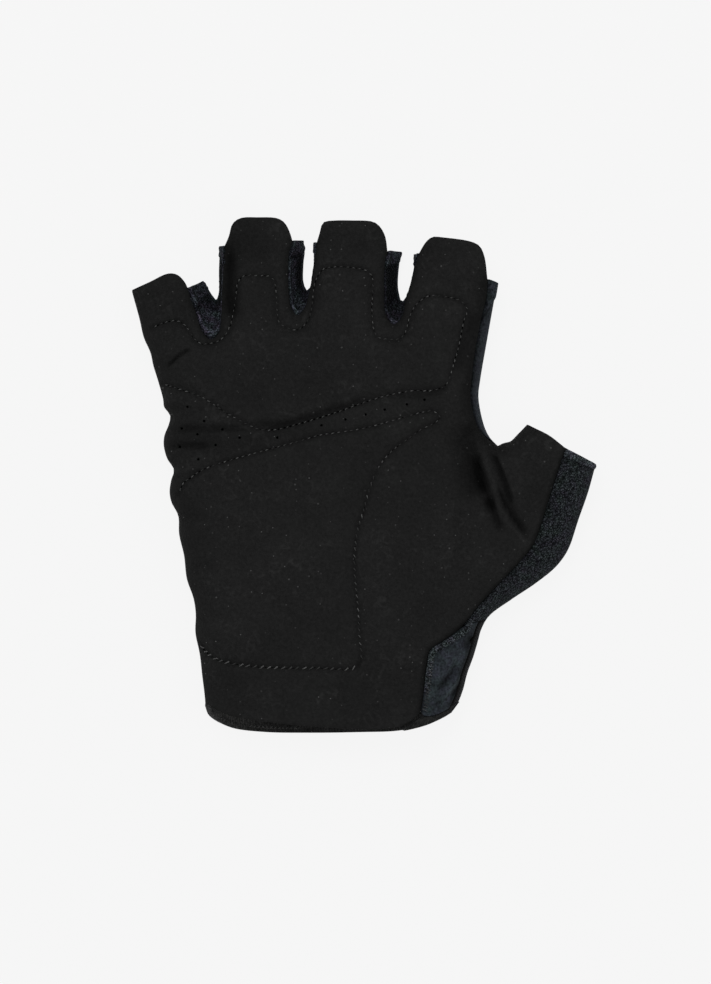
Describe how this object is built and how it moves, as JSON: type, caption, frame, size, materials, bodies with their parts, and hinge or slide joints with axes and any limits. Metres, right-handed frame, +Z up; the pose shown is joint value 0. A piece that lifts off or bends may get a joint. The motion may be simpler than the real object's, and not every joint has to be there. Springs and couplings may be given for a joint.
{
  "type": "fitness glove",
  "caption": "Half-finger training glove for the right hand, with a padded suede palm, knit back and wrist strap, lying palm up.",
  "frame": {"origin": "centre of the glove's bounding box in plan, on the surface it lies on", "axes": "+X towards the thumb, +Y towards the fingertips, +Z up out of the palm"},
  "size_m": [0.1507, 0.168, 0.02],
  "materials": {
    "suede_palm": "matt black synthetic suede",
    "knit_back": "blue-black knit",
    "knit_walls": "blue-black fine knit",
    "terry_knit": "dark grey terry knit",
    "stretch_knit": "smooth dark grey stretch knit",
    "binding": "folded binding",
    "strap": "plain woven strap",
    "foam": "cloth-faced foam"
  },
  "bodies": {
    "root": {"palm_panel": "suede_palm", "back_panel": "knit_back", "wall_little_ring": "knit_walls", "wall_ring_middle": "knit_walls", "wall_middle_index": "knit_walls", "thumb_back": "terry_knit", "wrist_gusset": "stretch_knit", "side_binding": "binding", "cuff_binding": "binding", "wrist_strap": "strap", "knuckle_pad": "foam", "heel_pad": "foam"}
  },
  "joints": []
}
